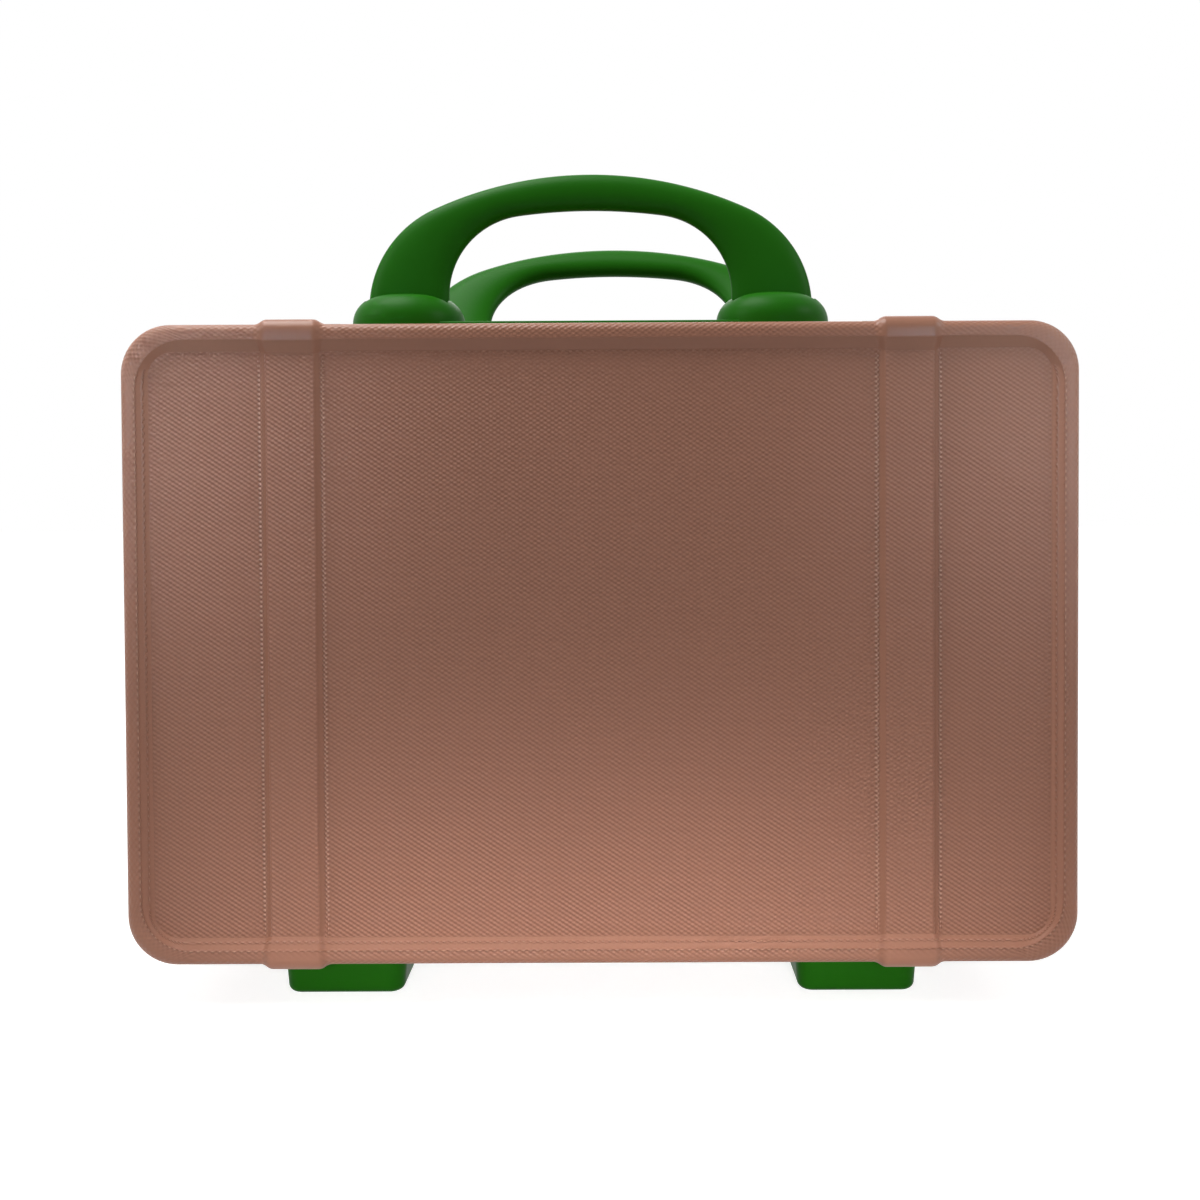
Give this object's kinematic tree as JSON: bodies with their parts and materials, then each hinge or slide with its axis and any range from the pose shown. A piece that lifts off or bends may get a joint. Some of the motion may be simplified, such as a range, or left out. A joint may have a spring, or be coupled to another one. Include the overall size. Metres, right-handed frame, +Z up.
{
  "type": "toy beauty case",
  "caption": "Hard clamshell toy case with a raised rim, moulded straps, two pivoting arched handles on domed bases, block feet, top latches and an inner mirror.",
  "frame": {"origin": "bottom centre of the closed case, on the surface that the four feet stand on", "axes": "+X along the width, +Y from the front face towards the rear face, +Z up; the front half is at negative Y"},
  "size_m": [0.31, 0.1392, 0.2791],
  "materials": {
    "shell_plastic": "satin with a fine moulded diamond grain, muted rose brown",
    "green_plastic": "semi-gloss moulded leaf green",
    "steel": "plain bright steel",
    "mirror_sheet": "silvered plastic sheet"
  },
  "bodies": {
    "rear_case": {"rear_shell": "shell_plastic", "rear_handle_base": "green_plastic", "rear_backing_strip": "steel", "rear_handle_pin_left": "steel", "rear_foot_left": "green_plastic", "rear_hinge_leaf_left": "steel", "rear_handle_pin_right": "steel", "rear_foot_right": "green_plastic", "rear_hinge_leaf_right": "steel", "hinge_pin_left": "steel", "hinge_pin_right": "steel", "latch_bracket_left": "green_plastic", "latch_bracket_right": "green_plastic", "latch_pin_left": "steel", "latch_pin_right": "steel"},
    "lid": {"front_shell": "shell_plastic", "front_handle_base": "green_plastic", "front_backing_strip": "steel", "front_handle_pin_left": "steel", "front_foot_left": "green_plastic", "front_hinge_leaf_left": "steel", "front_handle_pin_right": "steel", "front_foot_right": "green_plastic", "front_hinge_leaf_right": "steel", "latch_keeper_left": "green_plastic", "latch_keeper_right": "green_plastic", "mirror": "mirror_sheet", "mirror_frame": "green_plastic"},
    "front_handle": {"front_handle": "green_plastic"},
    "rear_handle": {"rear_handle": "green_plastic"},
    "latch_lever_left": {"latch_lever_left": "green_plastic"},
    "latch_lever_right": {"latch_lever_right": "green_plastic"}
  },
  "joints": [
    {"name": "lid_hinge", "type": "hinge", "parent": "rear_case", "child": "lid", "pos_m": [0, 0, 0.0116], "axis": [1, 0, 0], "range_deg": [0, 110]},
    {"name": "front_handle_pivot", "type": "hinge", "parent": "lid", "child": "front_handle", "pos_m": [-0.0035, -0.034, 0.2301], "axis": [1, 0, 0], "range_deg": [-33, 41]},
    {"name": "rear_handle_pivot", "type": "hinge", "parent": "rear_case", "child": "rear_handle", "pos_m": [0.0035, 0.034, 0.2301], "axis": [1, 0, 0], "range_deg": [0, 74]},
    {"name": "left_latch_pivot", "type": "hinge", "parent": "rear_case", "child": "latch_lever_left", "pos_m": [-0.1, 0.015, 0.2281], "axis": [-1, 0, 0], "range_deg": [0, 110]},
    {"name": "right_latch_pivot", "type": "hinge", "parent": "rear_case", "child": "latch_lever_right", "pos_m": [0.1, 0.015, 0.2281], "axis": [-1, 0, 0], "range_deg": [0, 110]}
  ]
}
